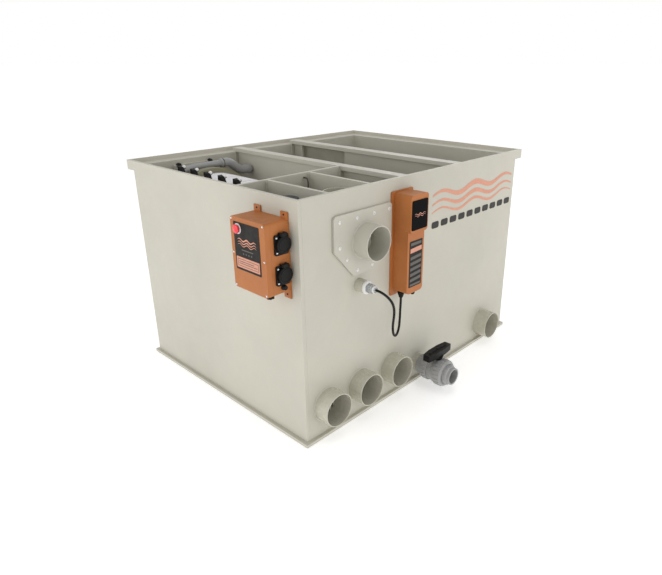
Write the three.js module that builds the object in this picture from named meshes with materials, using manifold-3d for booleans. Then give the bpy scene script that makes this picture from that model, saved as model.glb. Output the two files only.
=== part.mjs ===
// Combi drum filter tank for a garden pond: an open plastic tank with a turning drum screen, inlet bays,
// a media chamber and an outlet chamber, with its pipework, UV lamp and electric boxes on two outer faces.
// Units are millimetres. Inside the tank group, x runs along the front wall from its left corner,
// y runs back along the right wall, and z rises from the top of the base plate.
import * as THREE from "three";
import { mergeVertices } from "three/addons/utils/BufferGeometryUtils.js";
import Module from "manifold-3d";

const wasm = await Module();
wasm.setup();

// Driving dimensions.
const GAP = 0.3; // clearance between pieces that touch
const TANK = { width: 900, length: 1165, height: 765, sheet: 12, baseEdge: 12 };
const RIM = { reach: 46, lip: 8, lipHeight: 35, shelfTop: 750, shelf: 12 };
const PIPE = { radius: 55, wall: 3.2, reach: 57, sides: 32 };
const INLETS = { front: { y: 87, z: 100 }, middle: { y: 238, z: 102 }, rear: { y: 397, z: 101 } };
const OUTLET = { y: 984, z: 69, reach: 61 };
const FLANGE = { y: 255, z: 601, reach: 65.6, plate: 8 };
const WASTE = { y: 233.5, z: 601, tee: 828, riserTop: 742, left: 742, right: 885 };
const DRAIN = { y: 553, z: 55, radius: 31.5, bore: 26, stem: 88, reach: 163 };
const UV = { y: 234.6, z: 460 };
const DRUM = { y: 229, z: 523, screen: 186, ring: 204, left: 112, right: 600, mouth: 150 };
const AXLE = { radius: 12, left: 26 };
const GEAR = { module: 5.4, ringTeeth: 72, pinionTeeth: 10, width: 12, angle: 140 };
const SPRAY = { y: 105, z: 713, radius: 12.5, left: 98, right: 524, nozzles: 5, first: 152, pitch: 84 };
const FEED = { z: 691, elbowY: 431, elbow: 19 };
const PARTITION = {
  drumY: 451, mediaY: 760, bayX: 612, frontDivider: 116, rearDivider: 290, dividerBottom: 170,
};
const BOX = { left: 711, right: 862, bottom: 500, top: 710, seam: 66, depth: 84, tabs: 18 };
const SOCKETS = { upper: 646, lower: 558 };
const SOCKET_Y = -30;
const STOP = { x: 745, z: 678 };
const CONTROLLER = { y: 435.5, width: 84, bottom: 391, top: 722, front: 64, head: 75, headBottom: 600 };

const R = TANK.width; // x of the right wall's outer face
const INNER_RIGHT = TANK.width - TANK.sheet;
const INNER_BACK = TANK.length - TANK.sheet;

const COLOURS = {
  tank: 0xcdcbbe, grey: 0x80807e, black: 0x1b1a18, orange: 0xbe784b, white: 0xebe6eb, red: 0xfc505a,
  olive: 0x8c8a72, steel: 0xb8bab8, glass: 0xdfe8ea, lamp: 0xf2f2ee,
};

// Solids: each helper gives a closed BufferGeometry.
function solid(geometry) {
  const bare = geometry.clone();
  bare.deleteAttribute("normal");
  bare.deleteAttribute("uv");
  const merged = mergeVertices(bare, 1e-4);
  const mesh = new wasm.Mesh({
    numProp: 3,
    vertProperties: merged.attributes.position.array,
    triVerts: new Uint32Array(merged.index.array),
  });
  return new wasm.Manifold(mesh);
}

function geometryOf(manifold) {
  const mesh = manifold.getMesh();
  const made = new THREE.BufferGeometry();
  made.setAttribute("position", new THREE.BufferAttribute(mesh.vertProperties, 3));
  made.setIndex(new THREE.BufferAttribute(mesh.triVerts, 1));
  made.computeVertexNormals();
  return made;
}

function join(...pieces) {
  return geometryOf(pieces.map(solid).reduce((whole, piece) => whole.add(piece)));
}

function cut(base, ...tools) {
  return geometryOf(tools.map(solid).reduce((whole, tool) => whole.subtract(tool), solid(base)));
}

function block([x0, x1], [y0, y1], [z0, z1]) {
  const made = new THREE.BoxGeometry(x1 - x0, y1 - y0, z1 - z0);
  return made.translate((x0 + x1) / 2, (y0 + y1) / 2, (z0 + z1) / 2);
}

// A rod along +Z from the origin; a second radius makes it taper.
function rod(radius, length, sides = 24, endRadius = radius) {
  const made = new THREE.CylinderGeometry(endRadius, radius, length, sides);
  return made.rotateX(Math.PI / 2).translate(0, 0, length / 2);
}

// A closed profile of [radius, height] points turned about the Z axis.
function turned(profile, sides = 24) {
  const points = [...profile, profile[0]].map(([r, h]) => new THREE.Vector2(r, h));
  return new THREE.LatheGeometry(points, sides).rotateX(Math.PI / 2);
}

function tube(outer, inner, length, sides = 24) {
  return turned([[inner, 0], [outer, 0], [outer, length], [inner, length]], sides);
}

const towardsRight = (geometry) => geometry.rotateY(Math.PI / 2); // +Z turns to +X
const towardsFront = (geometry) => geometry.rotateX(Math.PI / 2); // +Z turns to -Y
const towardsBack = (geometry) => geometry.rotateX(-Math.PI / 2); // +Z turns to +Y

function shapeOf(points) {
  return new THREE.Shape(points.map(([u, v]) => new THREE.Vector2(u, v)));
}

function roundedShape(u0, u1, v0, v1, radius) {
  const shape = new THREE.Shape();
  const turn = Math.PI / 2;
  shape.absarc(u1 - radius, v0 + radius, radius, -turn, 0);
  shape.absarc(u1 - radius, v1 - radius, radius, 0, turn);
  shape.absarc(u0 + radius, v1 - radius, radius, turn, 2 * turn);
  shape.absarc(u0 + radius, v0 + radius, radius, 2 * turn, 3 * turn);
  shape.closePath();
  return shape;
}

function withHoles(shape, holes) {
  for (const [u, v, radius] of holes) {
    const hole = new THREE.Path();
    hole.absarc(u, v, radius, 0, 2 * Math.PI, true);
    shape.holes.push(hole);
  }
  return shape;
}

function extrude(shape, depth, curveSegments = 5) {
  return new THREE.ExtrudeGeometry(shape, { depth, bevelEnabled: false, curveSegments });
}

// A plate drawn in (y, z) that grows along +X from x.
function sidePlate(shape, x, depth, curveSegments) {
  const basis = new THREE.Matrix4().makeBasis(
    new THREE.Vector3(0, 1, 0),
    new THREE.Vector3(0, 0, 1),
    new THREE.Vector3(1, 0, 0),
  );
  return extrude(shape, depth, curveSegments).applyMatrix4(basis).translate(x, 0, 0);
}

// A plate drawn in (x, z) that grows along -Y from y.
function frontPlate(shape, y, depth, curveSegments) {
  return extrude(shape, depth, curveSegments).rotateX(Math.PI / 2).translate(0, y, 0);
}

// A round bar along a curve.
function bar(points, radius, sides, steps) {
  const path = new THREE.CatmullRomCurve3(points.map((p) => new THREE.Vector3(...p)), false, "centripetal");
  const section = new THREE.Shape();
  section.absarc(0, 0, radius, 0, 2 * Math.PI);
  const options = { steps, extrudePath: path, curveSegments: sides / 2, bevelEnabled: false };
  return new THREE.ExtrudeGeometry(section, options);
}

const model = new THREE.Group();
const tank = new THREE.Group(); // the wall frame: base plate centred under the part's origin
tank.position.set(-TANK.width / 2, -TANK.length / 2, TANK.sheet);
model.add(tank);

function add(name, geometry, colour, roughness = 0.5, metalness = 0) {
  const material = new THREE.MeshStandardMaterial({ color: COLOURS[colour], roughness, metalness });
  const mesh = new THREE.Mesh(geometry, material);
  mesh.name = name;
  tank.add(mesh);
  return mesh;
}

// Tank shell. The front and right walls reach past the far corners as the ends of the rim.
function addShell() {
  const { width, length, height, sheet, baseEdge } = TANK;
  const lipBottom = height - RIM.lipHeight;
  const wallTop = RIM.shelfTop - RIM.shelf;
  const base = block([-baseEdge, width + baseEdge], [-baseEdge, length + baseEdge], [-sheet, 0]);
  add("base_plate", base, "tank");
  const front = [
    [0, 0], [width, 0], [width, height], [-RIM.reach, height], [-RIM.reach, lipBottom], [0, lipBottom],
  ];
  add("front_wall", frontPlate(shapeOf(front), sheet, sheet), "tank");
  const right = [
    [sheet, 0], [length, 0], [length, lipBottom], [length + RIM.reach, lipBottom],
    [length + RIM.reach, height], [sheet, height],
  ];
  const stubHole = PIPE.radius + GAP;
  const holes = Object.values(INLETS).map(({ y, z }) => [y, z, stubHole]);
  holes.push([OUTLET.y, OUTLET.z, stubHole], [FLANGE.y, FLANGE.z, PIPE.radius]);
  holes.push([DRAIN.y, DRAIN.z, DRAIN.radius + GAP], [UV.y, UV.z, 21 + GAP]);
  add("right_wall", sidePlate(withHoles(shapeOf(right), holes), INNER_RIGHT, sheet, 16), "tank");
  add("left_wall", block([0, sheet], [sheet, INNER_BACK], [0, wallTop]), "tank");
  add("back_wall", block([0, INNER_RIGHT], [INNER_BACK, length], [0, wallTop]), "tank");
  const outer = block([-RIM.reach, INNER_RIGHT], [sheet, length + RIM.reach], [lipBottom, height]);
  const lipInside = length + RIM.reach - RIM.lip;
  const above = block([-RIM.reach + RIM.lip, width], [0, lipInside], [RIM.shelfTop, height + 1]);
  const below = block([-RIM.reach + RIM.lip, width], [0, lipInside], [0, wallTop]);
  const inside = block([sheet, width], [0, INNER_BACK], [0, height]);
  add("rim_flange", cut(outer, above, below, inside), "tank");
}

// Partitions between the chambers, with a low port and a high window that the water passes through.
// The bay dividers stop above the inlets, so that all three inlets feed the drum.
function addPartitions() {
  const { sheet, height } = TANK;
  const capBottom = RIM.shelfTop;
  const across = [sheet, INNER_RIGHT];
  const drumWall = block(across, [PARTITION.drumY, PARTITION.drumY + sheet], [0, capBottom]);
  const port = block([150, 450], [PARTITION.drumY - 1, PARTITION.drumY + sheet + 1], [60, 210]);
  const feedHole = towardsBack(rod(SPRAY.radius + GAP, 40, 24));
  feedHole.translate(SPRAY.left, PARTITION.drumY - 10, FEED.z);
  const cap = (y0, y1) => block([0, INNER_RIGHT], [y0, y1], [capBottom, height]);
  add("drum_partition", join(cut(drumWall, port, feedHole), cap(437, 477)), "tank");
  const mediaWall = block(across, [PARTITION.mediaY, PARTITION.mediaY + sheet], [0, capBottom]);
  const windowY = [PARTITION.mediaY - 1, PARTITION.mediaY + sheet + 1];
  const window = block([65, 329], windowY, [600, capBottom]);
  add("media_partition", join(cut(mediaWall, window), cap(743, 789)), "tank");
  const bay = [
    [sheet, 0], [PARTITION.drumY, 0], [PARTITION.drumY, capBottom], [437, capBottom], [437, height],
    [sheet, height],
  ];
  const mouth = [[DRUM.y, DRUM.z, 140]];
  add("bay_partition", sidePlate(withHoles(shapeOf(bay), mouth), PARTITION.bayX, sheet, 20), "tank");
  const dividerX = [PARTITION.bayX + sheet, INNER_RIGHT];
  const dividerZ = [PARTITION.dividerBottom, height];
  const { frontDivider, rearDivider } = PARTITION;
  add("bay_divider_front", block(dividerX, [frontDivider, frontDivider + sheet], dividerZ), "tank");
  add("bay_divider_rear", block(dividerX, [rearDivider, rearDivider + sheet], dividerZ), "tank");
}

// Pipe stubs through the right wall, and the flange plate that carries the waste pipe.
function addStubs() {
  const { radius, wall, sides } = PIPE;
  function stub(name, { y, z, reach = PIPE.reach }) {
    const pipe = towardsRight(tube(radius, radius - wall, TANK.sheet + reach, sides));
    add(name, pipe.translate(INNER_RIGHT, y, z), "tank");
  }
  stub("inlet_stub_front", INLETS.front);
  stub("inlet_stub_middle", INLETS.middle);
  stub("inlet_stub_rear", INLETS.rear);
  stub("outlet_stub", OUTLET);
  const outline = shapeOf([
    [124, 590], [206, 497], [304, 497], [379, 590], [379, 689], [371, 697], [132, 697], [124, 689],
  ]);
  const bore = radius - wall;
  const plate = sidePlate(withHoles(outline, [[FLANGE.y, FLANGE.z, bore]]), R + GAP, FLANGE.plate, 16);
  const neck = towardsRight(tube(radius, bore, FLANGE.reach - 4, sides));
  add("flange_plate", join(plate, neck.translate(R + 4, FLANGE.y, FLANGE.z)), "tank");
  const fromLeft = (geometry, x) => towardsRight(geometry).translate(x, WASTE.y, WASTE.z);
  const run = fromLeft(rod(radius, WASTE.right - WASTE.left, sides), WASTE.left);
  const runBore = fromLeft(rod(bore, R, sides), WASTE.left - 1);
  const riser = rod(radius, WASTE.riserTop - WASTE.z, sides).translate(WASTE.tee, WASTE.y, WASTE.z);
  const riserBore = rod(bore, 200, sides).translate(WASTE.tee, WASTE.y, WASTE.z);
  add("waste_tee", cut(join(run, riser), runBore, riserBore), "tank");
}

// Ball valve of the drain. Its axis lies along x; reach is counted from the wall.
function addDrainValve() {
  const { y, z, radius, bore, stem, reach } = DRAIN;
  const at = (geometry, from) => towardsRight(geometry).translate(R + from, y, z);
  const over = (geometry, height = 0) => geometry.translate(R + stem, y, z + height);
  const neck = 37.7; // the body's threaded ends, inside the nuts
  add("drain_pipe", at(tube(radius, radius - 4.5, 50 + TANK.sheet, 32), -TANK.sheet), "tank");
  const body = at(turned([
    [bore, 52], [neck, 52], [neck, 71.3], [41, 71.3], [41, 90], [46, 94], [46, 101], [neck, 101],
    [neck, 122], [bore, 122],
  ], 24), 0);
  const seat = over(new THREE.SphereGeometry(31.8, 20, 10));
  const bonnet = over(rod(12.5, 48, 20));
  const shell = cut(join(body, bonnet), at(rod(bore, 80, 24), 47), seat, over(rod(7.9, 70, 16)));
  add("valve_body", shell, "grey", 0.45);
  const innerNut = turned([
    [radius + GAP, 18], [36, 18], [37, 38], [43, 42], [45, 48], [45, 71], [neck + GAP, 71],
    [neck + GAP, 51], [radius + GAP, 51],
  ], 24);
  add("valve_inner_nut", at(innerNut, 0), "grey", 0.45);
  const outerNut = turned([
    [neck + GAP, 101.3], [48, 101.3], [48, 130], [44, 136], [36.4, 136], [36.4, 133.4],
    [neck + GAP, 133.4],
  ], 24);
  add("valve_outer_nut", at(outerNut, 0), "grey", 0.45);
  const spigot = turned([
    [bore, 122.3], [neck - 0.5, 122.3], [neck - 0.5, 133], [35.7, 133], [35.7, 149], [radius, 152], [radius, reach],
    [bore, reach],
  ], 32);
  add("valve_spigot", at(spigot, 0), "grey", 0.45);
  const ballBore = towardsBack(rod(22, 90, 24)).translate(0, -45, 0);
  add("valve_ball", over(cut(new THREE.SphereGeometry(31, 20, 10), ballBore)), "grey", 0.35);
  const lever = extrude(shapeOf([
    [-66, -13], [-26, -19], [26, -19], [66, -13], [66, 13], [26, 19], [-26, 19], [-66, 13],
  ]), 24).rotateZ(Math.PI / 2);
  const handle = over(lever, 60);
  const hub = over(rod(20, 13, 20, 24), 48.3);
  add("valve_handle", join(handle, hub, over(rod(7.5, 30, 16), 31.2)), "black", 0.5);
}

// UV lamp: a quartz sleeve through the right wall into the middle bay, with its lock nut and seal outside.
function addLamp() {
  const at = (geometry, reach) => towardsRight(geometry).translate(R + reach, UV.y, UV.z);
  add("uv_collar", at(tube(21, 15, 47, 32), -18), "tank");
  const nut = turned([[12.4, 29.3], [19, 29.3], [20, 31], [20, 40], [18.6, 41.5], [12.4, 41.5]], 24);
  add("uv_lock_nut", at(nut, 0), "white", 0.4);
  const sleeve = turned([[0, -246], [12, -240], [12, 54], [10, 54], [10, -238], [0, -243]], 24);
  add("quartz_sleeve", at(sleeve, 0), "glass", 0.1);
  add("uv_lamp", at(rod(8, 280, 16), -230), "lamp", 0.3);
  const seal = turned([
    [12.4, 41.8], [14.5, 41.8], [14.5, 58], [9.5, 62], [9.5, 71], [0, 71], [0, 54.3], [12.4, 54.3],
  ], 24);
  add("uv_seal", at(seal, 0), "glass", 0.3);
}

// The lamp's cable hangs free from the seal to the gland under the controller.
const CABLE = [
  [971.4, 234.6, 460], [980.5, 234.9, 459.9], [991, 236.8, 457.6], [1001, 240.6, 452.2], [1009, 247, 443.3],
  [1013.5, 255.2, 431], [1014.5, 264, 416.5], [1012.5, 272, 399.5], [1008, 279, 382], [1002, 285.5, 364],
  [995.5, 291, 345.5], [989.5, 296.5, 326.5], [984, 303.5, 308], [978, 313, 290.5], [971.5, 325.5, 275.5],
  [965, 340, 265.5], [958, 355.5, 262], [951.5, 370.5, 266.5], [945.5, 383, 278], [940, 392, 293.5],
  [935.5, 399, 311], [932, 404, 330], [930.4, 407, 347], [930, 408, 360], [930, 408, 370.4],
];
const CABLE_RADIUS = 4;

function addController() {
  const { y, width, bottom, top, front, head, headBottom } = CONTROLLER;
  add("uv_cable", bar(CABLE, CABLE_RADIUS, 8, 32), "black", 0.6);
  add("cable_gland", rod(6, 20, 24, 12).translate(R + 30, 408, 370.7), "black", 0.5);
  const back = roundedShape(381, 490, 375, 726, 6);
  add("controller_back", sidePlate(back, R + GAP, 4, 3), "orange", 0.4);
  const half = width / 2;
  const low = sidePlate(roundedShape(y - half, y + half, bottom, top, 14), R + 4.6, front - 4.6, 6);
  const headShape = roundedShape(y - half - 2, y + half + 2, headBottom, top, 12);
  const high = sidePlate(headShape, R + 30, head - 30, 6);
  const hollow = block([R, R + front - 4], [y - half + 4, y + half - 4], [bottom + 4, top - 4]);
  add("controller_cover", cut(join(low, high), hollow), "orange", 0.4);
  const screen = roundedShape(395, 474, 610, 705, 5);
  add("controller_display", sidePlate(screen, R + head + GAP, 1.6, 3), "black", 0.2);
}

// Control box on the front wall, with its lid, stop button and two sockets under hinged caps.
function addControlBox() {
  const { left, right, bottom, top, seam, depth, tabs } = BOX;
  const shell = frontPlate(roundedShape(left, right, bottom, top, 10), -GAP, seam - GAP, 6);
  const hollow = block([left + 5, right - 5], [-seam - 1, -6], [bottom + 5, top - 5]);
  const socketHoles = Object.values(SOCKETS).map((z) =>
    towardsRight(rod(23 + GAP, 12, 24)).translate(right - 8, SOCKET_Y, z));
  const feet = [];
  for (const [x0, x1] of [[left + 5, left + 34], [right - 29, right]]) {
    feet.push(block([x0, x1], [-5, -GAP], [bottom - 24, bottom + 15]));
    feet.push(block([x0, x1], [-5, -GAP], [top - 15, top + tabs]));
  }
  add("control_box_base", cut(join(shell, ...feet), hollow, ...socketHoles), "orange", 0.4);
  const lid = frontPlate(roundedShape(left, right, bottom, top, 10), -seam - GAP, depth - seam, 6);
  const recess = block([left + 5, right - 5], [-seam - 14, -seam], [bottom + 5, top - 5]);
  const buttonHole = towardsFront(rod(9, 40, 24)).translate(STOP.x, -seam, STOP.z);
  add("control_box_lid", cut(lid, recess, buttonHole), "orange", 0.4);
  const knob = turned([[0, 74], [8, 74], [8, 90.5], [13, 90.5], [13, 93], [9, 95.5], [0, 96]], 24);
  add("stop_button", towardsFront(knob).translate(STOP.x, 0, STOP.z), "red", 0.35);
  for (const [which, z] of Object.entries(SOCKETS)) addSocket(which, z);
}

function addSocket(which, z) {
  const x = BOX.right + GAP;
  const hinge = { x: x + 10, z: z + 31 };
  const plate = sidePlate(roundedShape(SOCKET_Y - 26, SOCKET_Y + 22, z - 29, z + 29, 6), x, 5, 3);
  const barrel = towardsRight(tube(23, 19.4, 25, 24)).translate(x - 14, SOCKET_Y, z);
  const floor = towardsRight(rod(19.6, 3, 24)).translate(x - 14, SOCKET_Y, z);
  const lugs = [-11, 8].map((offset) =>
    block([x + 1, x + 13], [SOCKET_Y + offset, SOCKET_Y + offset + 3], [z + 25, z + 34]));
  const pin = towardsBack(rod(1.6, 20, 12)).translate(hinge.x, SOCKET_Y - 10, hinge.z);
  const room = towardsRight(rod(19.4, 40, 24)).translate(x - 11, SOCKET_Y, z);
  const socket = join(cut(join(plate, barrel), room), floor, ...lugs, pin);
  add("socket_" + which, socket, "black", 0.5);
  const disc = turned([[0, 11.6], [24.5, 11.6], [24.5, 13.5], [22.5, 15], [0, 15]], 24);
  const lid = towardsRight(disc).translate(x, SOCKET_Y, z);
  const arm = block([hinge.x, x + 14], [SOCKET_Y - 7.4, SOCKET_Y + 7.4], [z + 18, z + 33]);
  const knuckle = towardsBack(rod(4, 14.8, 16)).translate(hinge.x, SOCKET_Y - 7.4, hinge.z);
  const bore = towardsBack(rod(2, 30, 16)).translate(hinge.x, SOCKET_Y - 15, hinge.z);
  const clear = block([x, x + 11.6], [SOCKET_Y - 9, SOCKET_Y + 9], [z + 10, z + 26]);
  const cap = cut(join(lid, cut(arm, clear), knuckle), bore);
  add("socket_cap_" + which, cap, "black", 0.5);
}

// A spur wheel outline with straight-sided teeth, thinned a little for backlash.
function gearShape(teeth, module, phase) {
  const pitch = (teeth * module) / 2;
  const tip = pitch + 0.9 * module;
  const root = pitch - 1.2 * module;
  const step = (2 * Math.PI) / teeth;
  const points = [];
  for (let i = 0; i < teeth; i += 1) {
    const middle = phase + i * step;
    const corners = [[root, -0.31], [tip, -0.11], [tip, 0.11], [root, 0.31]];
    for (const [radius, part] of corners) {
      const angle = middle + part * step;
      points.push([radius * Math.cos(angle), radius * Math.sin(angle)]);
    }
  }
  return shapeOf(points);
}

// Drum: a toothed disc on an axle, a frame of two ends and ribs, and a screen. The frame's right-hand ring
// runs on a fixed bearing ring, and the axle runs in a bracket on the left wall.
function addDrum() {
  const { y, z, screen, ring, left, right, mouth } = DRUM;
  const at = (geometry, x) => towardsRight(geometry).translate(x, y, z);
  const toothed = sidePlate(gearShape(GEAR.ringTeeth, GEAR.module, 0), left, GEAR.width + 1);
  add("drum_gear", toothed.translate(0, y, z), "olive", 0.6);
  add("drum_axle", at(rod(AXLE.radius, left - AXLE.left, 32), AXLE.left), "olive", 0.6);
  const drive = at(rod(ring, 28, 56), left + GEAR.width + 1);
  const endRing = at(tube(screen - 0.5, mouth, 22, 56), right - 22);
  const ribs = [];
  const ribCount = 8;
  for (let i = 0; i < ribCount; i += 1) {
    const rib = block([left + 20, right - 10], [-6, 6], [screen - 12, screen - 3]);
    ribs.push(rib.rotateX((i * 2 * Math.PI) / ribCount).translate(0, y, z));
  }
  const hoop = at(tube(screen - 2.6, screen - 12, 10, 40), (left + right) / 2);
  add("drum_frame", join(drive, endRing, hoop, ...ribs), "olive", 0.6);
  const skinLeft = left + GEAR.width + 29.4;
  add("drum_screen", at(tube(screen, screen - 2.2, right - 22.4 - skinLeft, 56), skinLeft), "white", 0.7);
  const track = mouth - 0.7;
  const bearing = turned([[140, 0], [track, 0], [track, 12], [158, 12], [158, 15.7], [140, 15.7]], 40);
  add("drum_bearing_ring", at(bearing, 596), "white", 0.6);
  const bracket = sidePlate(shapeOf([
    [y - 79, 640], [y - 40, 480], [y + 40, 480], [y + 79, 640], [y + 79, 732], [y - 79, 732],
  ]), TANK.sheet + GAP, 12);
  const boss = at(rod(34, 36, 24), 20);
  add("drum_bracket", cut(join(bracket, boss), at(rod(AXLE.radius + 0.4, 60, 32), 25)), "tank");
  const half = [[85, 655], [59, 590], [30, 553]]; // the channel's section from its lip to its floor
  const section = (thin, lift) => shapeOf([
    ...half.map(([dy, h]) => [WASTE.y - dy + thin, h + lift]),
    ...half.map(([dy, h]) => [WASTE.y + dy - thin, h + lift]).reverse(),
  ]);
  const waste = (radius, from, to) =>
    towardsRight(rod(radius, to - from, 48)).translate(from, WASTE.y, WASTE.z);
  const channel = sidePlate(section(0, 0), 172, 388);
  const channelRoom = sidePlate(section(4.5, 4), 176, 380);
  const outletEnd = WASTE.left - GAP;
  const trough = join(channel, waste(PIPE.radius, 540, outletEnd));
  add("waste_trough", cut(trough, channelRoom, waste(47, 550, 800)), "grey", 0.5);
}

// Gear motor and pinion beside the drum's toothed ring.
function addDrive() {
  const turn = THREE.MathUtils.degToRad(GEAR.angle);
  const spacing = ((GEAR.ringTeeth + GEAR.pinionTeeth) * GEAR.module) / 2;
  const y = DRUM.y + spacing * Math.cos(turn);
  const z = DRUM.z + spacing * Math.sin(turn);
  const toothStep = (2 * Math.PI) / GEAR.pinionTeeth;
  const ringStep = (2 * Math.PI) / GEAR.ringTeeth;
  const ringPhase = turn / ringStep; // teeth of the ring between its first tooth and the line of centres
  const meshPhase = turn + Math.PI + (ringPhase - Math.floor(ringPhase) + 0.5) * toothStep;
  const wheel = sidePlate(gearShape(GEAR.pinionTeeth, GEAR.module, meshPhase), DRUM.left, GEAR.width);
  const shaft = towardsRight(rod(5, 30, 16)).translate(DRUM.left - 18, 0, 0);
  add("drive_pinion", join(wheel, shaft).translate(0, y, z), "steel", 0.4, 0.6);
  const flange = block([TANK.sheet + GAP, 20], [-28, 28], [-28, 28]);
  const body = towardsRight(rod(25, 78, 32)).translate(18, 0, 0);
  const bore = towardsRight(rod(5.4, 30, 16)).translate(92, 0, 0);
  add("gear_motor", cut(join(flange, body), bore).translate(0, y, z), "black", 0.5);
}

// Rinse water: a feed pipe from the media chamber and a spray bar with clip-on nozzles.
function addSpray() {
  const { y, z, radius, left, right, nozzles, first, pitch } = SPRAY;
  const spray = towardsRight(rod(radius, right - left, 16)).translate(left, y, z);
  const endCap = towardsRight(rod(radius + 3, 18, 16)).translate(right - 16, y, z);
  const elbow = new THREE.SphereGeometry(radius + 4, 14, 8).translate(left, y, z);
  add("spray_bar", join(spray, endCap, elbow), "grey", 0.45);
  const thin = [
    [left, y + 17.5, z + 2], [left, 140, 722], [left, 175, 729], [left, 240, 730], [left, 320, 730.5],
  ];
  const thick = [
    [left, 313, 730.5], [left, 340, 729.5], [left, 358, 720], [left, 378, 704], [left, 398, 693.5],
    [left, FEED.elbowY, FEED.z],
  ];
  const bend = new THREE.SphereGeometry(FEED.elbow, 16, 10).translate(left, FEED.elbowY, FEED.z);
  const through = towardsBack(rod(radius, 44, 24)).translate(left, FEED.elbowY, FEED.z);
  const feed = join(bar(thin, radius, 12, 10), bar(thick, radius + 4.5, 14, 16), bend, through);
  add("feed_pipe", feed, "grey", 0.45);
  for (let i = 0; i < nozzles; i += 1) {
    const clip = tube(radius + 5, radius + GAP, 22, 16).rotateY(Math.PI / 2).translate(-11, 0, 0);
    const body = extrude(shapeOf([[-15, 8], [14, 8], [2, 31], [-13, 34]]), 16);
    const tip = rod(4.5, 14, 12).rotateX(-Math.PI / 3).translate(0, 2, 25);
    const clamp = join(clip, body.rotateX(Math.PI / 2).translate(0, 8, 4), tip);
    const bore = towardsRight(rod(radius + GAP, 40, 16)).translate(-20, 0, 0);
    add("spray_nozzle_" + (i + 1), cut(clamp, bore).translate(first + i * pitch, y, z), "black", 0.5);
  }
}

// Rinse pump in the front bay, and the float switch that starts a rinse.
function addPumpAndFloat() {
  const pump = turned([
    [0, 0], [30, 0], [33, 4], [33, 560], [31, 564], [34, 566], [34, 700], [28, 712], [14, 714], [14, 736],
    [31, 738], [31, 748], [28, 751], [0, 751],
  ], 24);
  add("rinse_pump", pump.translate(808, 47, GAP), "black", 0.5);
  const stem = { x: 645, y: 268, top: 746 };
  const hook = bar([
    [PARTITION.bayX + TANK.sheet + GAP, stem.y, stem.top + 4], [628, stem.y, stem.top + 4],
    [633, stem.y, stem.top + 4],
    [640, stem.y, stem.top + 3], [stem.x, stem.y, stem.top - 6], [stem.x, stem.y, 710],
    [stem.x, stem.y, 666],
  ], 2.6, 10, 16);
  const stop = rod(9, 5, 16).translate(stem.x, stem.y, 664);
  add("float_stem", join(hook, stop), "grey", 0.5);
  add("float_ring", tube(14, 3.8, 30, 20).translate(stem.x, stem.y, 669.3), "white", 0.5);
}

addShell();
addPartitions();
addStubs();
addDrainValve();
addLamp();
addController();
addControlBox();
addDrum();
addDrive();
addSpray();
addPumpAndFloat();

export default model;
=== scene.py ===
"""Looks of the pond drum filter tank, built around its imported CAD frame. Blender 4.5."""
import math

import bmesh
import bpy
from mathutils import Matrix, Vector


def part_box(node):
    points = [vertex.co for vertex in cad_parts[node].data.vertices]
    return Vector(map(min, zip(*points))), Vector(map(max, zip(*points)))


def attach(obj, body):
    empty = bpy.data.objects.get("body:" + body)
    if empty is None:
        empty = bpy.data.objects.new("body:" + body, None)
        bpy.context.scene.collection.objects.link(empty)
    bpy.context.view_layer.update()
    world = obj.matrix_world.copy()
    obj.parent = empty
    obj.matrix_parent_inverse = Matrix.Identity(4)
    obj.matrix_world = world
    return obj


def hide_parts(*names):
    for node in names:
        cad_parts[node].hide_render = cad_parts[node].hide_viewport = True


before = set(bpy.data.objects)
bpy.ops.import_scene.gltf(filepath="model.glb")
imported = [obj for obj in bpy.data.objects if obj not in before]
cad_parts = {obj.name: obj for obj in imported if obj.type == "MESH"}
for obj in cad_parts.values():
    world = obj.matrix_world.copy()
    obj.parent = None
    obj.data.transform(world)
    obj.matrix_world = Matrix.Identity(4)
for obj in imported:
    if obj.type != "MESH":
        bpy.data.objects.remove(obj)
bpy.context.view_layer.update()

MM = 0.001
X, Y, Z = Vector((1, 0, 0)), Vector((0, 1, 0)), Vector((0, 0, 1))
ROOT = "root"

# The tank's corner: x runs along the front wall, y back along the right wall, z up from the base plate.
CORNER = Vector((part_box("left_wall")[0].x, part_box("front_wall")[0].y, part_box("base_plate")[1].z))


def at(x, y, z):
    """A point given in millimetres from the tank's corner, in metres in the row frame."""
    return CORNER + Vector((x, y, z)) * MM


def low(node):
    """A node's lowest corner in millimetres from the tank's corner."""
    return (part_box(node)[0] - CORNER) / MM


def high(node):
    """A node's highest corner in millimetres from the tank's corner."""
    return (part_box(node)[1] - CORNER) / MM


WIDTH = high("right_wall").x
LENGTH = high("back_wall").y
HEIGHT = high("front_wall").z
SHEET = high("front_wall").y

# Axes of the flange's stub, the lamp, the drain valve and the drum: y and z in millimetres.
FLANGE_AXIS = (255, 601)
LAMP_AXIS = (234.6, 460)
VALVE_AXIS = (553, 55)
DRUM_AXIS = (229, 523)
FLANGE_STUB_RADIUS = 55
FLANGE_FACE = WIDTH + 8.3  # the front of its plate

# The openings that have screens: x from and to, then z from and to.
MEDIA_WINDOW = (48, 329, 600, 750)
DRUM_PORT = (150, 450, 60, 210)


# ---------------------------------------------------------------- materials

def linear(red, green, blue):
    """An 8-bit sRGB colour as a linear one."""
    def one(value):
        part = value / 255
        return part / 12.92 if part <= 0.04045 else ((part + 0.055) / 1.055) ** 2.4
    return (one(red), one(green), one(blue), 1)


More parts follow.
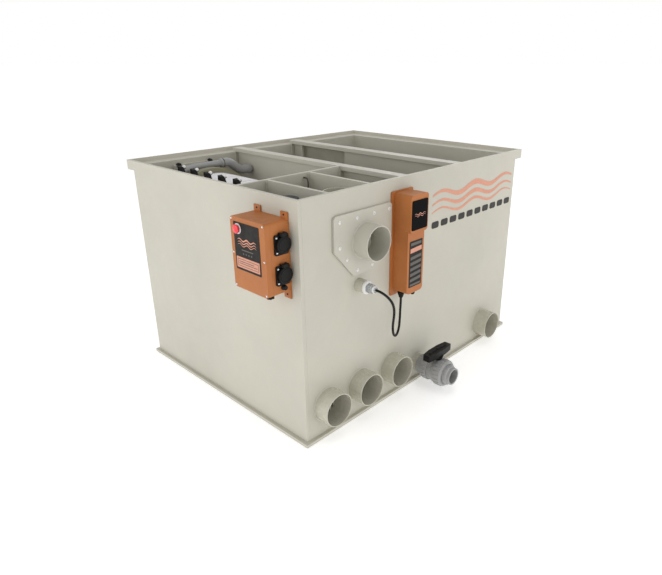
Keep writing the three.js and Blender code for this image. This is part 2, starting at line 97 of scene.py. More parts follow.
class Nodes:
    """A material's node tree with short calls for the nodes that the finishes share."""

    def __init__(self, name):
        self.material = bpy.data.materials.new(name)
        self.material.use_nodes = True
        self.tree = self.material.node_tree
        self.shader = self.tree.nodes["Principled BSDF"]
        self.place = self.tree.nodes.new("ShaderNodeTexCoord").outputs["Object"]

    def link(self, out, into):
        self.tree.links.new(out, into)

    def noise(self, scale, detail=4, rough=0.55, stretch=None):
        node = self.tree.nodes.new("ShaderNodeTexNoise")
        node.inputs["Scale"].default_value = scale
        node.inputs["Detail"].default_value = detail
        node.inputs["Roughness"].default_value = rough
        source = self.place
        if stretch:
            mapping = self.tree.nodes.new("ShaderNodeMapping")
            mapping.inputs["Scale"].default_value = stretch
            self.link(self.place, mapping.inputs["Vector"])
            source = mapping.outputs["Vector"]
        self.link(source, node.inputs["Vector"])
        return node.outputs["Fac"]

    def ramp(self, value, *stops):
        """Each stop is (place from 0 to 1, colour)."""
        node = self.tree.nodes.new("ShaderNodeValToRGB")
        while len(node.color_ramp.elements) < len(stops):
            node.color_ramp.elements.new(0.5)
        for element, (place, colour) in zip(node.color_ramp.elements, stops):
            element.position = place
            element.color = colour
        self.link(value, node.inputs["Fac"])
        return node.outputs["Color"]

    def mix(self, amount, first, second, kind="MIX"):
        node = self.tree.nodes.new("ShaderNodeMix")
        node.data_type = "RGBA"
        node.blend_type = kind
        for socket, value in ((node.inputs[0], amount), (node.inputs[6], first), (node.inputs[7], second)):
            if hasattr(value, "links"):
                self.link(value, socket)
            else:
                socket.default_value = value
        return node.outputs[2]

    def spread(self, value, lowest, highest):
        """Stretches a noise, mostly between 0.3 and 0.7, over lowest to highest."""
        node = self.tree.nodes.new("ShaderNodeMapRange")
        node.inputs["From Min"].default_value = 0.3
        node.inputs["From Max"].default_value = 0.7
        node.inputs["To Min"].default_value = lowest
        node.inputs["To Max"].default_value = highest
        self.link(value, node.inputs["Value"])
        return node.outputs["Result"]

    def bump(self, *layers):
        """Each layer is (height value, strength, distance in metres)."""
        normal = None
        for value, strength, distance in layers:
            node = self.tree.nodes.new("ShaderNodeBump")
            node.inputs["Strength"].default_value = strength
            node.inputs["Distance"].default_value = distance
            self.link(value, node.inputs["Height"])
            if normal:
                self.link(normal, node.inputs["Normal"])
            normal = node.outputs["Normal"]
        self.link(normal, self.shader.inputs["Normal"])

    def set(self, **values):
        for name, value in values.items():
            self.shader.inputs[name.replace("_", " ")].default_value = value

    def colour(self, value):
        self.link(value, self.shader.inputs["Base Color"])

    def rough(self, value):
        self.link(value, self.shader.inputs["Roughness"])


def shade(colour, factor):
    """The same colour made lighter or darker."""
    return tuple(min(1, part * factor) for part in colour[:3]) + (1,)


def sheet_plastic(name, colour, warm, rough=0.42):
    """Extruded sheet polypropylene: broad mottling, faint handling scuffs and a fine orange-peel skin."""
    n = Nodes(name)
    broad = n.noise(2.2, 5, 0.6)
    tone = n.ramp(broad, (0.35, shade(colour, 0.93)), (0.65, shade(colour, 1.05)))
    patches = n.noise(9, 6, 0.6)
    tone = n.mix(n.spread(patches, 0.0, 0.25), tone, warm)
    scuffs = n.noise(14, 8, 0.7, (1, 1, 9))
    scuffed = n.ramp(scuffs, (0.62, (0, 0, 0, 1)), (0.75, (0.3, 0.3, 0.3, 1)))
    tone = n.mix(scuffed, tone, shade(colour, 1.12))
    n.colour(tone)
    n.rough(n.spread(n.noise(26, 6, 0.65), rough - 0.07, rough + 0.12))
    n.bump((n.noise(9, 3), 0.12, 0.004), (n.noise(420, 2), 0.10, 0.0004))
    n.set(Specular_IOR_Level=0.42)
    return n.material


def moulded(name, colour, rough=0.45, grain=1400, depth=0.25, coat=0.0, variation=0.07, sheen=0.35):
    """Injection-moulded plastic with a spark-eroded grain and slight colour drift."""
    n = Nodes(name)
    drift = n.noise(7, 4)
    tone = n.ramp(drift, (0.35, shade(colour, 1 - variation)), (0.65, shade(colour, 1 + variation)))
    rubbed = n.ramp(n.noise(45, 8, 0.7), (0.66, (0, 0, 0, 1)), (0.8, (0.35, 0.35, 0.35, 1)))
    n.colour(n.mix(rubbed, tone, shade(colour, 1.35)))
    n.rough(n.spread(n.noise(60, 5), rough - 0.06, rough + 0.09))
    n.bump((n.noise(grain, 2), depth, 0.0003), (n.noise(30, 2), 0.06, 0.002))
    n.set(Coat_Weight=coat, Coat_Roughness=0.15, Specular_IOR_Level=sheen)
    return n.material


def pipe_plastic(name, colour, rough=0.36):
    """Extruded or turned pipe: long draw lines, soft gloss and dusty variation."""
    n = Nodes(name)
    lines = n.noise(16, 5, 0.6, (1, 9, 9))
    tone = n.ramp(lines, (0.35, shade(colour, 0.96)), (0.65, shade(colour, 1.04)))
    n.colour(n.mix(n.spread(n.noise(34, 6), 0, 0.1), tone, shade(colour, 0.85)))
    n.rough(n.spread(n.noise(40, 5), rough - 0.06, rough + 0.1))
    n.bump((lines, 0.08, 0.001), (n.noise(500, 2), 0.08, 0.0003))
    return n.material


def metal(name, colour, rough=0.3):
    """Brushed or plated metal."""
    n = Nodes(name)
    brushed = n.noise(220, 4, 0.6, (1, 1, 12))
    n.colour(n.ramp(brushed, (0.3, shade(colour, 0.8)), (0.7, shade(colour, 1.1))))
    n.rough(n.spread(brushed, rough - 0.08, rough + 0.12))
    n.bump((brushed, 0.1, 0.0002))
    n.set(Metallic=1.0)
    return n.material


def clear(name, colour, rough=0.08):
    """Clear quartz or plastic with a slight ripple."""
    n = Nodes(name)
    n.colour(n.ramp(n.noise(20, 3), (0.3, shade(colour, 0.96)), (0.7, colour)))
    n.rough(n.spread(n.noise(50, 4), rough, rough + 0.12))
    n.bump((n.noise(60, 2), 0.05, 0.0005))
    n.set(Transmission_Weight=0.75, IOR=1.46)
    return n.material


def woven(name, colour, pitch):
    """Fine drum mesh: crossed wires worked out from two wave textures."""
    n = Nodes(name)
    waves = []
    for axis in ("X", "Z"):
        wave = n.tree.nodes.new("ShaderNodeTexWave")
        wave.bands_direction = axis
        wave.inputs["Scale"].default_value = pitch
        wave.inputs["Distortion"].default_value = 0.3
        n.link(n.place, wave.inputs["Vector"])
        waves.append(wave.outputs["Fac"])
    weave = n.mix(0.5, waves[0], waves[1], "MULTIPLY")
    n.colour(n.ramp(n.mix(0.35, weave, n.noise(12, 5)), (0.05, shade(colour, 0.9)), (0.4, colour)))
    n.rough(n.spread(n.noise(30, 3), 0.5, 0.7))
    n.bump((weave, 0.5, 0.0006))
    return n.material


def printed(name, colour, rough=0.4):
    """Ink or a label, slightly uneven."""
    n = Nodes(name)
    n.colour(n.ramp(n.noise(60, 6, 0.7), (0.3, shade(colour, 0.9)), (0.7, shade(colour, 1.05))))
    n.rough(n.spread(n.noise(80, 4), rough - 0.08, rough + 0.1))
    n.bump((n.noise(900, 2), 0.1, 0.0002))
    n.set(Specular_IOR_Level=0.25)
    return n.material


TANK = sheet_plastic("tank_sheet", linear(195, 192, 179), warm=linear(188, 183, 166))
WELD = sheet_plastic("weld_plastic", linear(203, 201, 188), warm=linear(192, 188, 172), rough=0.32)
OLIVE = sheet_plastic("drum_olive", linear(140, 137, 112), warm=linear(120, 116, 92), rough=0.55)
STUB = pipe_plastic("stub_pipe", linear(192, 189, 173), rough=0.24)
GREY = pipe_plastic("grey_pvc", linear(156, 156, 155), rough=0.3)
BLACK = moulded("black_plastic", linear(18, 17, 16), rough=0.48, grain=1500, depth=0.2, variation=0.1,
                sheen=0.22)
RUBBER = moulded("cable_rubber", linear(20, 19, 18), rough=0.6, grain=2200, depth=0.2, variation=0.2,
                 sheen=0.25)
HOSE = moulded("dark_hose", linear(82, 79, 72), rough=0.5, grain=1800, depth=0.15)
ORANGE = moulded("orange_housing", linear(176, 108, 56), rough=0.46, grain=1300, depth=0.22)
WHITE = moulded("white_plastic", linear(236, 234, 232), rough=0.4, grain=1200, depth=0.12)
RED = moulded("stop_red", linear(240, 52, 62), rough=0.28, grain=1800, depth=0.08, coat=0.5)
LAMP = moulded("lamp_tube", linear(238, 240, 234), rough=0.25, grain=900, depth=0.05)
GLASS = moulded("display_glass", linear(3, 3, 4), rough=0.3, grain=2500, depth=0.02, sheen=0.04)
MESH = woven("drum_mesh", linear(242, 240, 242), pitch=260)
STEEL = metal("steel", linear(196, 197, 196))
SCREW = metal("screw_zinc", linear(225, 225, 228), rough=0.22)
QUARTZ = clear("quartz", linear(236, 240, 240))
PANEL = printed("label_dark", linear(36, 34, 31), rough=0.6)
SALMON = printed("print_salmon", linear(214, 152, 128))
GREYPRINT = printed("print_grey", linear(98, 94, 89))
DARKPRINT = printed("print_dark", linear(46, 44, 41))

# Nodes that aren't listed have the tank's sheet plastic.
NODE_FINISH = {
    STUB: ["inlet_stub_front", "inlet_stub_middle", "inlet_stub_rear", "outlet_stub", "drain_pipe",
           "uv_collar", "waste_tee"],
    GREY: ["waste_trough", "valve_body", "valve_inner_nut", "valve_outer_nut", "valve_spigot",
           "valve_ball", "spray_bar", "feed_pipe"],
    HOSE: ["float_stem", "float_ring"],
    BLACK: ["valve_handle", "cable_gland", "socket_upper", "socket_lower", "socket_cap_upper",
            "socket_cap_lower", "gear_motor", "rinse_pump"] + [f"spray_nozzle_{i}" for i in range(1, 6)],
    ORANGE: ["controller_back", "controller_cover", "control_box_base", "control_box_lid"],
    WHITE: ["uv_lock_nut", "drum_bearing_ring"],
    GLASS: ["controller_display"],
    RED: ["stop_button"],
    OLIVE: ["drum_frame", "drum_gear", "drum_axle"],
    MESH: ["drum_screen"],
    STEEL: ["drive_pinion"],
    QUARTZ: ["quartz_sleeve", "uv_seal"],
    LAMP: ["uv_lamp"],
}

# How wide each node's rounded edges are, in millimetres.
COMMON_BEVEL = 0.7
BEVELS = {"stop_button": 1.2, "valve_handle": 3.5, "control_box_lid": 3.5, "controller_cover": 4.0,
          "control_box_base": 1.2, "valve_body": 1.0, "drum_frame": 0.5, "quartz_sleeve": 0.3,
          "socket_cap_upper": 1.2, "socket_cap_lower": 1.2, "base_plate": 1.5}


def soften(obj, bevel_mm, segments=3, angle=32):
    """Merges split vertices, rounds the sharp edges and shades the rest smooth."""
    weld = obj.modifiers.new("weld", "WELD")
    weld.merge_threshold = 0.00002
    bevel = obj.modifiers.new("edges", "BEVEL")
    bevel.width = bevel_mm * MM
    bevel.segments = segments
    bevel.limit_method = "ANGLE"
    bevel.angle_limit = math.radians(angle)
    bevel.miter_outer = "MITER_ARC"
    normals = obj.modifiers.new("normals", "WEIGHTED_NORMAL")
    normals.keep_sharp = True
    if "custom_normal" in obj.data.attributes:
        obj.data.attributes.remove(obj.data.attributes["custom_normal"])
    for polygon in obj.data.polygons:
        polygon.use_smooth = True


def dress_nodes():
    """Gives every CAD node its finish and rounded edges."""
    finish_of = {name: finish for finish, names in NODE_FINISH.items() for name in names}
    for name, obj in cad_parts.items():
        obj.data.materials.clear()
        obj.data.materials.append(finish_of.get(name, TANK))
        soften(obj, BEVELS.get(name, COMMON_BEVEL))


# ---------------------------------------------------------------- pieces

def piece(name, mesh, finish, body=ROOT, smooth=True):
    """An object with this mesh and finish that rides on a body."""
    obj = bpy.data.objects.new(name, mesh)
    bpy.context.scene.collection.objects.link(obj)
    obj.data.materials.append(finish)
    if smooth:
        for polygon in mesh.polygons:
            polygon.use_smooth = True
    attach(obj, body)
    return obj


def mesh_of(name, build):
    """A mesh with the faces that build adds to an empty bmesh."""
    shape = bmesh.new()
    build(shape)
    bmesh.ops.recalc_face_normals(shape, faces=shape.faces)
    mesh = bpy.data.meshes.new(name)
    shape.to_mesh(mesh)
    shape.free()
    return mesh


def basis(direction):
    """Two unit vectors square to direction and to each other."""
    side = Z if abs(direction.z) < 0.9 else X
    first = direction.cross(side).normalized()
    return first, direction.cross(first).normalized()


def turned(name, start, direction, profile, finish, body=ROOT, sides=32):
    """Revolves a [radius, distance] profile in millimetres about direction from start."""
    first, second = basis(direction)

    def build(shape):
        rings = []
        for radius, along in profile:
            centre = start + direction * along * MM
            if radius == 0:
                rings.append([shape.verts.new(centre)])
                continue
            ring = []
            for i in range(sides):
                turn = 2 * math.pi * i / sides
                out = first * math.cos(turn) + second * math.sin(turn)
                ring.append(shape.verts.new(centre + out * radius * MM))
            rings.append(ring)
        for one, two in zip(rings, rings[1:]):
            for i in range(sides):
                j = (i + 1) % sides
                corners = [one[i % len(one)], one[j % len(one)], two[j % len(two)], two[i % len(two)]]
                unique = list(dict.fromkeys(corners))
                if len(unique) > 2:
                    shape.faces.new(unique)
    return piece(name, mesh_of(name, build), finish, body)


def plate(name, origin, right, up, outline, depth, finish, bevel=0.0, body=ROOT):
    """A flat piece drawn in (right, up) millimetres from origin, depth thick along right x up."""
    out = right.cross(up)

    def build(shape):
        rings = []
        for level in (0, depth):
            places = [origin + (right * u + up * v + out * level) * MM for u, v in outline]
            rings.append([shape.verts.new(place) for place in places])
        shape.faces.new(rings[0])
        shape.faces.new(rings[1])
        count = len(outline)
        for i in range(count):
            j = (i + 1) % count
            shape.faces.new([rings[0][i], rings[0][j], rings[1][j], rings[1][i]])
    obj = piece(name, mesh_of(name, build), finish, body, smooth=bevel > 0)
    if bevel:
        soften(obj, bevel, 2)
    return obj


def oblong(u0, u1, v0, v1):
    return [(u0, v0), (u1, v0), (u1, v1), (u0, v1)]


def rounded(u0, u1, v0, v1, radius, steps=5):
    """Outline points of a rectangle with round corners."""
    points = []
    corners = ((u1 - radius, v0 + radius, -90), (u1 - radius, v1 - radius, 0),
               (u0 + radius, v1 - radius, 90), (u0 + radius, v0 + radius, 180))
    for u, v, start in corners:
        for i in range(steps + 1):
            turn = math.radians(start + 90 * i / steps)
            points.append((u + radius * math.cos(turn), v + radius * math.sin(turn)))
    return points


def swept(name, points, radius_mm, finish, body=ROOT, sides=10, ripple=0.0, closed=False):
    """A round bar through points. The ripple is how much its radius varies, as on a weld bead."""
    phase = 1.7
    def build(shape):
        rings = []
        count = len(points)
        for i, centre in enumerate(points):
            ahead = points[(i + 1) % count] if closed else points[min(i + 1, count - 1)]
            behind = points[(i - 1) % count] if closed else points[max(i - 1, 0)]
            first, second = basis((ahead - behind).normalized())
            radius = radius_mm * MM * (1 + ripple * math.sin(i * phase))
            ring = []
            for k in range(sides):
                turn = 2 * math.pi * k / sides
                out = first * math.cos(turn) + second * math.sin(turn)
                ring.append(shape.verts.new(centre + out * radius))
            rings.append(ring)
        pairs = list(zip(rings, rings[1:]))
        if closed:
            pairs.append((rings[-1], rings[0]))
        else:
            shape.faces.new(rings[0])
            shape.faces.new(rings[-1])
        for one, two in pairs:
            for k in range(sides):
                j = (k + 1) % sides
                shape.faces.new([one[k], one[j], two[j], two[k]])
    return piece(name, mesh_of(name, build), finish, body)


def line(start, end, step_mm):
    """Points along a straight line, about step_mm apart."""
    count = max(2, int((end - start).length / (step_mm * MM)))
    return [start.lerp(end, i / count) for i in range(count + 1)]


# ---------------------------------------------------------------- camera, light and floor

CAMERA_PLACE = (1.5557, -1.5306, 1.1278)
CAMERA_DOWN = 21.46  # degrees below level
CAMERA_ROUND = 42.66  # degrees round from facing the front wall
LENS_MM = 30.69
LENS_SHIFT = (-0.0475, -0.01347)
FLOOR_GAP = 0.0005


def make_camera():
    data = bpy.data.cameras.new("camera")
    data.sensor_fit = "HORIZONTAL"
    data.sensor_width = 36
    data.lens = LENS_MM
    data.shift_x, data.shift_y = LENS_SHIFT
    camera = bpy.data.objects.new("camera", data)
    camera.location = CAMERA_PLACE
    camera.rotation_euler = (math.radians(90 - CAMERA_DOWN), 0, math.radians(CAMERA_ROUND))
    bpy.context.scene.collection.objects.link(camera)
    bpy.context.scene.camera = camera


def make_world():
    """A white sky that is dimmer overhead."""
    world = bpy.data.worlds.new("studio")
    world.use_nodes = True
    tree = world.node_tree
    background = tree.nodes["Background"]
    background.inputs["Color"].default_value = (1, 1, 1, 1)
    direction = tree.nodes.new("ShaderNodeTexCoord")
    parts = tree.nodes.new("ShaderNodeSeparateXYZ")
    fade = tree.nodes.new("ShaderNodeMapRange")
    fade.inputs["From Min"].default_value = 0.2
    fade.inputs["From Max"].default_value = 0.7
    fade.inputs["To Min"].default_value = 1.0
    fade.inputs["To Max"].default_value = 0.4
    tree.links.new(direction.outputs["Generated"], parts.inputs["Vector"])
    tree.links.new(parts.outputs["Z"], fade.inputs["Value"])
    tree.links.new(fade.outputs["Result"], background.inputs["Strength"])
    bpy.context.scene.world = world
    bpy.context.scene.view_settings.view_transform = "Standard"


def make_light(name, place, size, power):
    """A square lamp that faces the middle of the tank."""
    middle = Vector((0, 0, 0.4))
    data = bpy.data.lights.new(name, "AREA")
    data.size = size
    data.energy = power
    lamp = bpy.data.objects.new(name, data)
    lamp.location = place
    lamp.rotation_euler = (middle - Vector(place)).to_track_quat("-Z", "Y").to_euler()
    bpy.context.scene.collection.objects.link(lamp)


def make_lights():
    make_light("key", (-0.6, -3.6, 1.5), size=2.0, power=23)
    make_light("side", (3.6, 0.3, 1.5), size=2.0, power=17)
    make_light("back", (-1.5, 3.4, 2.6), size=2.5, power=20)
    overhead = bpy.data.lights.new("overhead", "SUN")
    overhead.energy = 0.55
    overhead.angle = math.radians(40)
    bpy.context.scene.collection.objects.link(bpy.data.objects.new("overhead", overhead))


def make_floor():
    """A white floor that glows slightly, so that it stays white round the tank."""
    floor = Nodes("floor")
    floor.colour(floor.ramp(floor.noise(3, 3), (0.3, (0.93, 0.93, 0.93, 1)), (0.7, (0.96, 0.96, 0.96, 1))))
    floor.set(Roughness=0.85, Emission_Color=(1, 1, 1, 1), Emission_Strength=0.36)
    ground = bpy.data.meshes.new("floor")
    side = 90
    corners = [(-side, -side, 0), (side, -side, 0), (side, side, 0), (-side, side, 0)]
    ground.from_pydata(corners, [], [(0, 1, 2, 3)])
    obj = bpy.data.objects.new("floor", ground)
    obj.data.materials.append(floor.material)
    obj.location.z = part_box("base_plate")[0].z - FLOOR_GAP
    bpy.context.scene.collection.objects.link(obj)


# ---------------------------------------------------------------- the free cable

CABLE = [
    (971.4, 234.6, 460), (980.5, 234.9, 459.9), (991, 236.8, 457.6), (1001, 240.6, 452.2),
    (1009, 247, 443.3), (1013.5, 255.2, 431), (1014.5, 264, 416.5), (1012.5, 272, 399.5),
    (1008, 279, 382), (1002, 285.5, 364), (995.5, 291, 345.5), (989.5, 296.5, 326.5),
    (984, 303.5, 308), (978, 313, 290.5), (971.5, 325.5, 275.5), (965, 340, 265.5),
    (958, 355.5, 262), (951.5, 370.5, 266.5), (945.5, 383, 278), (940, 392, 293.5),
    (935.5, 399, 311), (932, 404, 330), (930.4, 407, 347), (930, 408, 360), (930, 408, 370.4),
]
CABLE_RADIUS = 4


def smooth_route(points, per_span=6):
    """Points along a Catmull-Rom curve through the route."""
    route = []
    padded = [points[0] * 2 - points[1], *points, points[-1] * 2 - points[-2]]
    for before, start, end, after in zip(padded, padded[1:], padded[2:], padded[3:]):
        for i in range(per_span):
            t = i / per_span
            route.append(0.5 * ((2 * start) + (end - before) * t
                                + (2 * before - 5 * start + 4 * end - after) * t ** 2
                                + (3 * start - before - 3 * end + after) * t ** 3))
    route.append(points[-1])
    return route


def make_cable():
    """The lamp's cable, which hangs from the lamp's seal to the gland under the controller."""
    route = smooth_route([at(*point) for point in CABLE])
    cable = swept("lamp_cable", route, CABLE_RADIUS, RUBBER, sides=16)
    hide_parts("uv_cable")


# ---------------------------------------------------------------- tank details

def make_welds():
    """Extrusion-welded beads along the joints of the sheets and round the pipe stubs."""
    edge = 1.2
    runs = {}
    inner_left, inner_right = SHEET + edge, WIDTH - SHEET - edge
    top = HEIGHT - 15
    for name in ("drum_partition", "media_partition"):
        near, far = low(name).y - edge, high(name).y + edge
        for tag, y in (("near", near), ("far", far)):
            for side, x in (("left", inner_left), ("right", inner_right)):
                runs[f"weld_{name}_{tag}_{side}"] = (at(x, y, 2), at(x, y, top))
    bay_left, bay_right = low("bay_partition").x - edge, high("bay_partition").x + edge
    drum_face = low("drum_partition").y - edge
    for side, x in (("left", bay_left), ("right", bay_right)):
        runs[f"weld_bay_back_{side}"] = (at(x, drum_face, 2), at(x, drum_face, top))
        runs[f"weld_bay_front_{side}"] = (at(x, SHEET + edge, 2), at(x, SHEET + edge, HEIGHT - 3))
    for name in ("bay_divider_front", "bay_divider_rear"):
        for tag, y in (("near", low(name).y - edge), ("far", high(name).y + edge)):
            for side, x in (("left", bay_right), ("right", inner_right)):
                runs[f"weld_{name}_{tag}_{side}"] = (at(x, y, 2), at(x, y, HEIGHT - 3))
    for side, x, y in (("fl", inner_left, SHEET + edge), ("bl", inner_left, LENGTH - SHEET - edge),
                       ("br", inner_right, LENGTH - SHEET - edge)):
        runs[f"weld_corner_{side}"] = (at(x, y, 2), at(x, y, top - 14))
    for name, (start, end) in runs.items():
        swept(name, line(start, end, 7), 2.2, WELD, sides=8, ripple=0.12)
    for name in ("inlet_stub_front", "inlet_stub_middle", "inlet_stub_rear", "outlet_stub", "drain_pipe"):
        first, last = low(name), high(name)
        middle = (first + last) / 2
        ring_weld("weld_" + name, middle.y, middle.z, (last.y - first.y) / 2, WIDTH)
    ring_weld("weld_flange_stub", *FLANGE_AXIS, FLANGE_STUB_RADIUS, FLANGE_FACE)


def ring_weld(name, y, z, radius, face):
    """A bead round a pipe where it leaves a face that points to the right."""
    count = 72
    reach = radius + 0.8
    points = []
    for i in range(count):
        turn = 2 * math.pi * i / count
        points.append(at(face + 0.6, y + reach * math.cos(turn), z + reach * math.sin(turn)))
    swept(name, points, 2.0, WELD, sides=8, ripple=0.12, closed=True)


def screw(name, place, out, radius, finish=SCREW, washer=None):
    """A pan-head screw with its recess as a shallow dish, and a white washer if it has one."""
    if washer:
        disc = [(0, 0), (washer, 0), (washer, 0.9), (radius, 1.2), (0, 1.2)]
        turned(name + "_washer", place, out, disc, WHITE)
        place = place + out * 0.9 * MM
    profile = [(0, 0), (radius, 0), (radius, 0.5), (radius * 0.85, 1.3), (radius * 0.5, 1.9),
               (radius * 0.42, 1.3), (0, 0.9)]
    turned(name, place, out, profile, finish, sides=20)


# Where the flange's screws stand: y and z in millimetres.
FLANGE_SCREWS = ((147, 677), (220, 676), (295, 677), (366, 677), (147, 600), (366, 600), (176, 557),
                 (334, 557), (222, 514), (288, 514))


def make_flange_screws():
    for i, (y, z) in enumerate(FLANGE_SCREWS):
        screw(f"flange_screw_{i + 1}", at(FLANGE_FACE, y, z), X, 3.4, SCREW, washer=5.6)


def slotted_screen(name, opening, face, slot, bridge):
    """A retaining screen of upright bars in a frame, standing on the far face of a partition."""
    x0, x1, z0, z1 = opening
    edge = 7
    thick = 4
    origin = at(0, face + thick, 0)
    bars = int((x1 - x0) / (slot + bridge))
    rail = z1 - thick
    members = {"bottom": (x0 - edge, x1 + edge, z0 - edge, z0), "top": (x0 - edge, x1 + edge, rail, z1),
               "left": (x0 - edge, x0, z0, rail), "right": (x1, x1 + edge, z0, rail)}
    for tag, sides in members.items():
        plate(f"{name}_{tag}", origin, X, Z, oblong(*sides), thick, TANK, 0.6)
    step = (x1 - x0) / bars
    for i in range(bars):
        left = x0 + (i + 0.5) * step - bridge / 2
        bar = oblong(left, left + bridge, z0, rail)
        plate(f"{name}_bar_{i + 1}", origin, X, Z, bar, thick, TANK)


def make_screens():
    gap = 0.3
    slotted_screen("media_screen", MEDIA_WINDOW, high("media_partition").y + gap, slot=3, bridge=2.5)
    slotted_screen("drum_port_screen", DRUM_PORT, high("drum_partition").y + gap, slot=5, bridge=4)


def wave(name, face_point, right, up, u0, u1, v, height, thick, finish):
    """A generic wavy ribbon, a water motif."""
    count = 48
    waves = 2.5
    upper, lower = [], []
    for i in range(count + 1):
        u = u0 + (u1 - u0) * i / count
        middle = v + height * math.sin(2 * math.pi * waves * i / count)
        swell = thick * (0.35 + 0.65 * math.sin(math.pi * i / count))
        upper.append((u, middle + swell / 2))
        lower.append((u, middle - swell / 2))
    plate(name, face_point, right, up, lower + upper[::-1], 0.4, finish)


def make_wall_print():
    """Generic print on the right wall in place of lettering: three waves and a row of dark bars."""
    face = at(WIDTH + 0.2, 0, 0)
    for i, (v, thick) in enumerate(((672, 20), (640, 16), (612, 11))):
        wave(f"wall_print_wave_{i + 1}", face, Y, Z, 606, 1144, v, 12, thick, SALMON)
    for i in range(10):
        u0 = 606 + i * 55
        plate(f"wall_print_bar_{i + 1}", face, Y, Z, rounded(u0, u0 + 42, 556, 580, 8), 0.4, DARKPRINT)


# ---------------------------------------------------------------- boxes and small parts

def make_control_box_details():
    """Label with waves, lid and foot screws, the stop knob's collar, a gland, a fuse cap and cap rings."""
    face_y = low("control_box_lid").y
    face = at(0, face_y - 0.1, 0)
    plate("control_label", face, X, Z, rounded(726, 839, 558, 697, 3), 0.7, PANEL, 0.2)
    top = at(0, face_y - 0.9, 0)
    for i, v in enumerate((648, 640, 633)):
        wave(f"control_label_wave_{i + 1}", top, X, Z, 742, 824, v, 3.2, 4.5 - i, SALMON)
    plate("control_label_bar", top, X, Z, rounded(757, 809, 618, 621, 1.2), 0.3, GREYPRINT)
    for i in range(4):
        u0 = 762 + i * 12
        plate(f"control_label_dot_{i + 1}", top, X, Z, rounded(u0, u0 + 5, 606, 611, 2), 0.3, GREYPRINT)
    plate("control_label_field", top, X, Z, rounded(731, 834, 565, 597, 1.5), 0.3, SALMON)
    over = at(0, face_y - 1.25, 0)
    frame_lines = ((736, 829, 590, 591.5), (736, 829, 570, 571.5),
                   (736, 737.5, 570, 591.5), (827.5, 829, 570, 591.5))
    for i, sides in enumerate(frame_lines):
        plate(f"control_field_line_{i + 1}", over, X, Z, oblong(*sides), 0.2, GREYPRINT)
    for i in range(2):
        v = 577 + i * 6
        row = rounded(742, 823 - 14 * i, v, v + 2, 0.8)
        plate(f"control_field_row_{i + 1}", over, X, Z, row, 0.2, GREYPRINT)
    for i, (x, z) in enumerate((x, z) for z in (507, 605, 703) for x in (718, 855)):
        screw(f"lid_screw_{i + 1}", at(x, face_y, z), -Y, 3.2)
    collar = [(9.3, 0), (15, 0), (15, 1), (14, 1.6), (9.3, 1.6), (9.3, 0)]
    turned("stop_collar", at(745, face_y - 0.3, 678), -Y, collar, WHITE, sides=40)
    gland = [(0, 0), (9, 0), (9, 5), (12, 5.5), (12, 12), (8, 14), (0, 14)]
    turned("box_gland", at(836, -58, 499.8), -Z, gland, BLACK, sides=6)
    fuse = [(0, 0), (8.5, 0), (8.5, 3), (7, 4), (7, 11), (5.5, 13), (0, 13)]
    turned("box_fuse_cap", at(862.2, -31, 521), X, fuse, BLACK, sides=24)
    for which in ("upper", "lower"):
        box_low, box_high = low("socket_" + which), high("socket_" + which)
        face_x = box_low.x + 19.2
        for i, z in enumerate((box_low.z + 8, box_low.z + 50)):
            screw(f"socket_{which}_screw_{i + 1}", at(face_x, box_low.y + 6, z), X, 3)
        cap_high = high("socket_cap_" + which).x
        ring = [(20, 0), (20, 0.9), (18.4, 1.4), (17, 0.9), (17, 0)]
        middle = at(cap_high - 0.1, -30, box_low.z + 29)
        turned(f"socket_{which}_cap_ring", middle, X, ring, BLACK, "cap_" + which, 40)
    for i, (x, z) in enumerate(((730, 720), (847, 720), (730, 487), (847, 487))):
        screw(f"box_foot_screw_{i + 1}", at(x, -5, z), -Y, 2.8, BLACK)


def make_controller_details():
    """Keypad, display waves, seam and screws, with the plug and gland ribs under the lamp's controller."""
    front = WIDTH + 64
    panel = at(front + 0.15, 0, 0)
    plate("keypad", panel, Y, Z, rounded(403, 469, 413, 571, 3), 0.6, PANEL, 0.2)
    over = at(front + 0.8, 0, 0)
    plate("keypad_title", over, Y, Z, rounded(409, 463, 556, 565, 1), 0.3, GREYPRINT)
    plate("keypad_salmon", over, Y, Z, [(407, 531), (465, 534), (465, 549), (407, 546)], 0.4, SALMON)
    for i in range(5):
        v = 508 - i * 19
        row = [(408, v), (464, v + 4), (464, v + 14), (408, v + 10)]
        plate(f"keypad_row_{i + 1}", over, Y, Z, row, 0.8, GREYPRINT, 0.3)
    plate("keypad_foot", over, Y, Z, rounded(409, 463, 417, 424, 1), 0.3, GREYPRINT)
    glass = at(high("controller_display").x + 0.1, 0, 0)
    for i in range(2):
        wave(f"display_wave_{i + 1}", glass, Y, Z, 408, 462, 660 - i * 6, 2.4, 2.6 - i, SALMON)
    plug = [(0, 0), (8, 0), (8, 4), (6, 9), (0, 10)]
    turned("controller_plug", at(WIDTH + 56, 436, 391.2), -Z, plug, BLACK, sides=20)
    seam = line(at(WIDTH + 22, 406, 390.9), at(WIDTH + 22, 465, 390.9), 5)
    swept("controller_seam", seam, 0.8, BLACK)
    for i, (y, z) in enumerate(((386, 382), (485, 382), (386, 719), (485, 719))):
        screw(f"controller_screw_{i + 1}", at(WIDTH + 4.3, y, z), X, 3, ORANGE)
    for i in range(4):
        radius = 11.6 - i * 1.4
        ring = [(radius - 1.5, 0), (radius, 0.3), (radius, 1.3), (radius - 1.5, 1.6)]
        turned(f"gland_rib_{i + 1}", at(WIDTH + 30, 408, 387 - i * 4), -Z, ring, BLACK, sides=28)


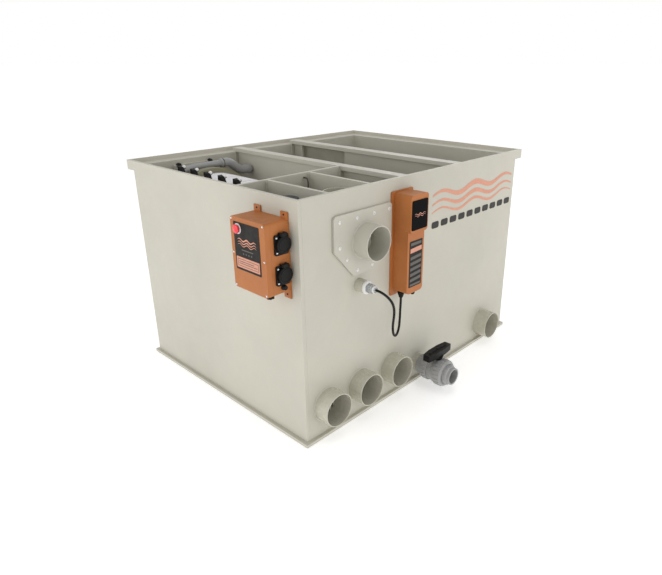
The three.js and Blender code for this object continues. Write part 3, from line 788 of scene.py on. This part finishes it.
def make_lamp_details():
    """Grip ribs of the lock nut, and the rings of the lamp's seal and cord grip."""
    y, z = LAMP_AXIS
    count = 14
    radius = 19.4
    rib = [(0, 0), (1.8, 0.6), (1.8, 8.5), (0, 9)]
    for i in range(count):
        turn = 2 * math.pi * i / count
        place = at(WIDTH + 31, y + radius * math.cos(turn), z + radius * math.sin(turn))
        turned(f"lock_nut_rib_{i + 1}", place, X, rib, WHITE, sides=10)
    ring = [(14.4, 0), (15.6, 0.6), (15.6, 3), (14.4, 3.6)]
    turned("seal_ring", at(WIDTH + 46, y, z), X, ring, QUARTZ, sides=36)
    grip = [(9.4, 0), (10.6, 0.5), (10.6, 6), (9.4, 6.5)]
    turned("cord_grip", at(WIDTH + 62.5, y, z), X, grip, WHITE, sides=28)


def make_valve_details():
    """Grip ribs of the union nuts, the body's moulded bands and the handle's ridge."""
    y, z = VALVE_AXIS
    for tag, x0, length, radius in (("inner", 50, 18, 44.6), ("outer", 103, 26, 47.6)):
        count = 20
        for i in range(count):
            turn = 2 * math.pi * (i + 0.5) / count
            place = at(WIDTH + x0, y + radius * math.cos(turn), z + radius * math.sin(turn))
            rib = [(0, 0), (2, 1), (2, length - 1), (0, length)]
            turned(f"valve_{tag}_rib_{i + 1}", place, X, rib, GREY, sides=8)
    for i, (x, radius) in enumerate(((22, 36), (80, 40.8), (143, 35.5))):
        ring = [(radius, 0), (radius + 1.5, 0.6), (radius + 1.5, 2.6), (radius, 3.2)]
        turned(f"valve_band_{i + 1}", at(WIDTH + x, y, z), X, ring, GREY, sides=48)
    top = at(WIDTH + 88, y, z + 84.2)
    plate("handle_ridge", top, Y, -X, rounded(-50, 50, -5, 5, 4.5), 2, BLACK, 0.8, "valve_key")
    cover = [(0, 0), (4, 0), (3.6, 1.4), (0, 1.6)]
    turned("handle_screw_cover", top + Z * 1.6 * MM, Z, cover, BLACK, "valve_key", 24)


def make_spray_details():
    """White spray tips, the bracket's black hand screws and pipe collars."""
    tilt = math.radians(60)
    out = Vector((0, math.sin(tilt), math.cos(tilt)))
    profile = [(4.8, 0), (6, 0.6), (6, 7), (4.6, 10), (0, 11)]
    for i in range(1, 6):
        x = (low(f"spray_nozzle_{i}").x + high(f"spray_nozzle_{i}").x) / 2
        start = at(x, 107, 742) + out * 5 * MM
        turned(f"spray_tip_{i}", start, out, profile, WHITE, sides=24)
    grip = [(0, 0), (5, 0), (5, 6), (8.5, 7), (8.5, 18), (7, 20), (0, 20)]
    wall = high("left_wall").x + 0.5
    for i, y in enumerate((168, 306)):
        turned(f"bracket_hand_screw_{i + 1}", at(wall, y, 731), X, grip, BLACK, sides=24)
    collar = [(12.6, 0), (17.2, 1), (17.2, 9), (12.6, 10)]
    turned("feed_collar", at(98, 303, 730.4), Y, collar, GREY, sides=32)
    seal = [(12.6, 0), (17.6, 0.4), (17.6, 2), (12.6, 2.4)]
    turned("feed_seal", at(98, 313, 730.5), Y, seal, BLACK, sides=32)


def make_drum_details():
    """Clamp bands and lengthwise seams on the mesh drum."""
    y, z = DRUM_AXIS
    first, last = low("drum_screen").x, high("drum_screen").x
    bands = 5
    band = [(186.1, 0), (187.4, 0.4), (187.4, 9.6), (186.1, 10)]
    for i in range(bands):
        x = first + 4 + i * (last - first - 18) / (bands - 1)
        finish = STEEL if i in (0, bands - 1) else WHITE
        turned(f"drum_band_{i + 1}", at(x, y, z), X, band, finish, "drum", 96)
    seams = 8
    radius = 186.6
    for i in range(seams):
        turn = 2 * math.pi * (i + 0.5) / seams
        start = at(first + 3, y + radius * math.cos(turn), z + radius * math.sin(turn))
        end = at(last - 3, y + radius * math.cos(turn), z + radius * math.sin(turn))
        swept(f"drum_seam_{i + 1}", line(start, end, 40), 1.4, WHITE, "drum", 8)


make_camera()
make_world()
make_lights()
make_floor()
make_cable()
dress_nodes()
make_welds()
make_flange_screws()
make_screens()
make_wall_print()
make_control_box_details()
make_controller_details()
make_lamp_details()
make_valve_details()
make_spray_details()
make_drum_details()
